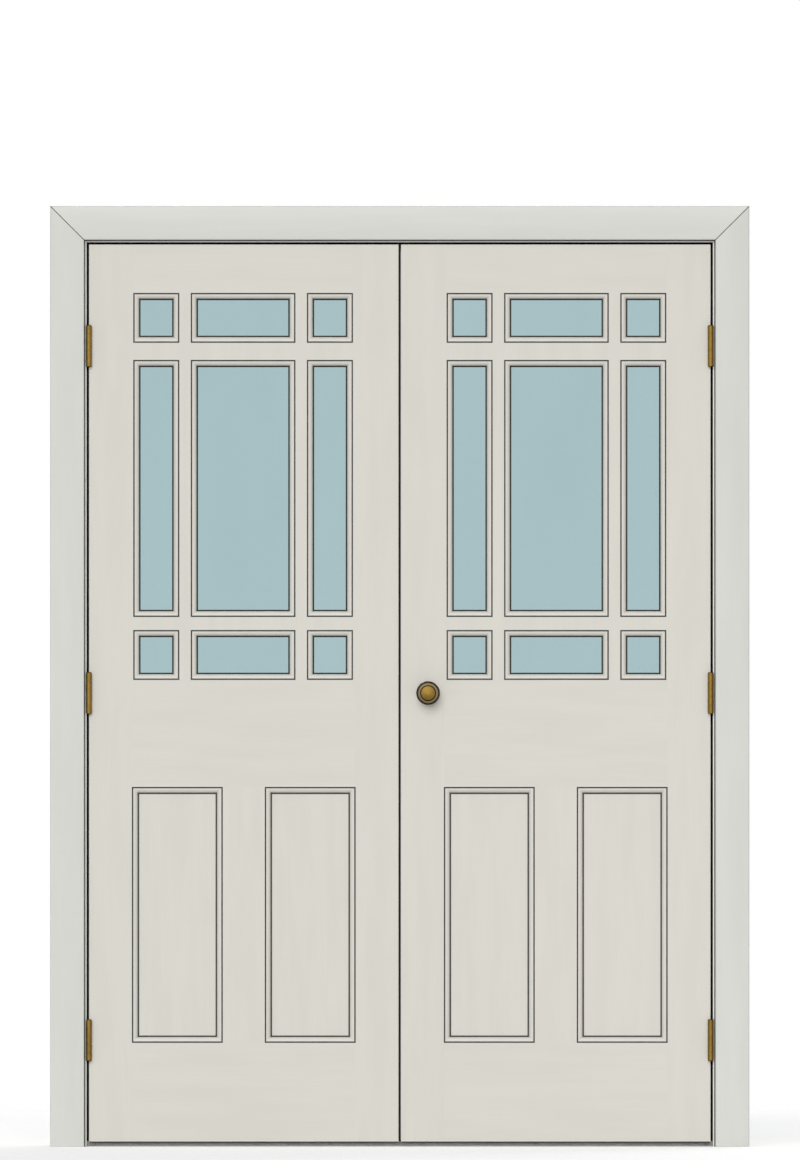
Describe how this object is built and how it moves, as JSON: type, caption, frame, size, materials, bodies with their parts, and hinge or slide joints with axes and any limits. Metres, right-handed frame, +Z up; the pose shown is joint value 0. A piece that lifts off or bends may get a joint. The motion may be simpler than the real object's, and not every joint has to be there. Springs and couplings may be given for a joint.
{
  "type": "glazed double door with casing",
  "caption": "Pair of hinged timber door leaves with divided glass over flat lower panels, in a rebated lining with mitred casings and a low threshold bar.",
  "frame": {"origin": "at floor level, in the middle of the doorway and of the jambs' depth, on the threshold's underside", "axes": "+X across the doorway to the viewer's right, -Y the front that the leaves open towards, +Z up"},
  "size_m": [1.544, 0.1845, 2.077],
  "materials": {
    "leaf_paint": "satin paint",
    "frame_paint": "satin paint",
    "glass": "clear",
    "brass": "aged satin",
    "steel": "plain",
    "threshold_metal": "dark anodised"
  },
  "bodies": {
    "frame": {"left_jamb": "frame_paint", "right_jamb": "frame_paint", "head_jamb": "frame_paint", "left_stop": "frame_paint", "right_stop": "frame_paint", "head_stop": "frame_paint", "threshold": "threshold_metal", "casing_front_left": "frame_paint", "casing_front_right": "frame_paint", "casing_front_head": "frame_paint", "casing_rear_left": "frame_paint", "casing_rear_right": "frame_paint", "casing_rear_head": "frame_paint", "frame_hinge_plates": "brass", "hinge_pins": "brass"},
    "left_leaf": {"left_hinge_stile": "leaf_paint", "left_meeting_stile": "leaf_paint", "left_top_rail": "leaf_paint", "left_lock_rail": "leaf_paint", "left_bottom_rail": "leaf_paint", "left_muntin": "leaf_paint", "left_glazing_bars": "leaf_paint", "left_panels": "leaf_paint", "left_panes": "glass", "left_glazing_beads": "leaf_paint", "left_panel_mouldings": "leaf_paint", "left_hinge_plates": "brass", "left_strike_plate": "brass"},
    "right_leaf": {"right_hinge_stile": "leaf_paint", "right_meeting_stile": "leaf_paint", "right_top_rail": "leaf_paint", "right_lock_rail": "leaf_paint", "right_bottom_rail": "leaf_paint", "right_muntin": "leaf_paint", "right_glazing_bars": "leaf_paint", "right_panels": "leaf_paint", "right_panes": "glass", "right_glazing_beads": "leaf_paint", "right_panel_mouldings": "leaf_paint", "right_hinge_plates": "brass", "right_latch": "brass", "right_roses": "brass"},
    "knob": {"knob_front": "brass", "knob_rear": "brass", "spindle": "steel"}
  },
  "joints": [
    {"name": "left_leaf_swing", "type": "hinge", "parent": "frame", "child": "left_leaf", "pos_m": [-0.6865, -0.065, 1.0015], "axis": [0, 0, -1], "range_deg": [0, 140]},
    {"name": "right_leaf_swing", "type": "hinge", "parent": "frame", "child": "right_leaf", "pos_m": [0.6865, -0.065, 1.0015], "axis": [0, 0, 1], "range_deg": [0, 140]},
    {"name": "knob_turn", "type": "hinge", "parent": "right_leaf", "child": "knob", "pos_m": [0.0625, -0.0405, 1.0015], "axis": [0, -1, 0], "range_deg": [-60, 60], "stiffness_Nm_per_rad": 0.5}
  ]
}
